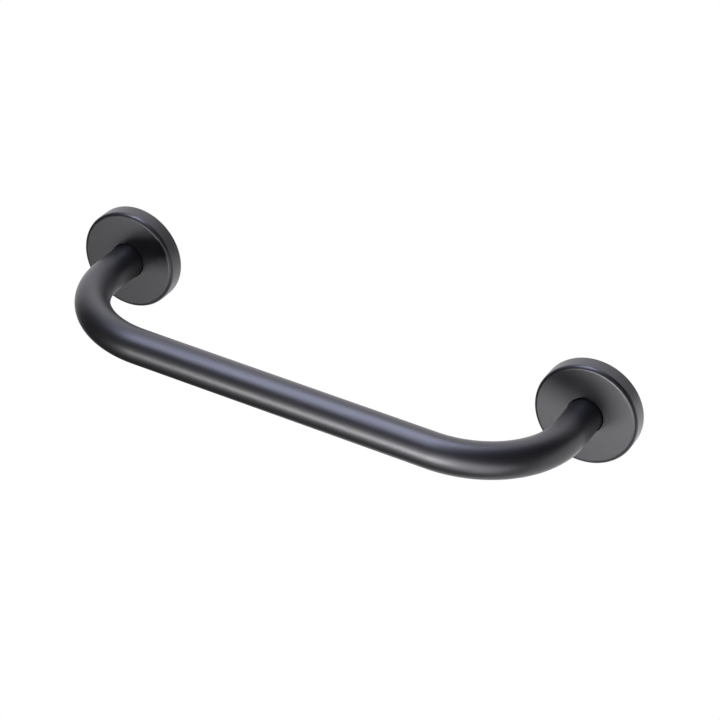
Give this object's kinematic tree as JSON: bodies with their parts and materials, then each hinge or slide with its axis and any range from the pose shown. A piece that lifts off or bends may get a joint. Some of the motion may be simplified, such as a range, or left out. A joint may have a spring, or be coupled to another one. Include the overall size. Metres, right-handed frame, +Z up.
{
  "type": "grab bar",
  "caption": "Wall grab bar: a round tube bent at both ends and welded to screw-on flanges, which are hidden under round cover roses that slide along the legs.",
  "frame": {"origin": "on the wall plane, midway between the axes of the two legs", "axes": "+X along the bar, +Y into the wall, +Z up; the bar stands out from the wall towards -Y"},
  "size_m": [0.38, 0.106, 0.065],
  "materials": {
    "coated_tube": "satin black coat on steel tube",
    "coated_rose": "satin black coat on pressed steel",
    "coated_flange": "matt black coat on flat steel",
    "coated_weld": "matt black coat on a fillet weld"
  },
  "bodies": {
    "bar": {"bar_tube": "coated_tube", "left_base_flange": "coated_flange", "right_base_flange": "coated_flange", "left_weld_bead": "coated_weld", "right_weld_bead": "coated_weld"},
    "left_cover": {"left_cover_rose": "coated_rose"},
    "right_cover": {"right_cover_rose": "coated_rose"}
  },
  "joints": [
    {"name": "left_cover_slide", "type": "slide", "parent": "bar", "child": "left_cover", "axis": [0, -1, 0], "range_m": [0, 0.023]},
    {"name": "right_cover_slide", "type": "slide", "parent": "bar", "child": "right_cover", "axis": [0, -1, 0], "range_m": [0, 0.023]}
  ]
}
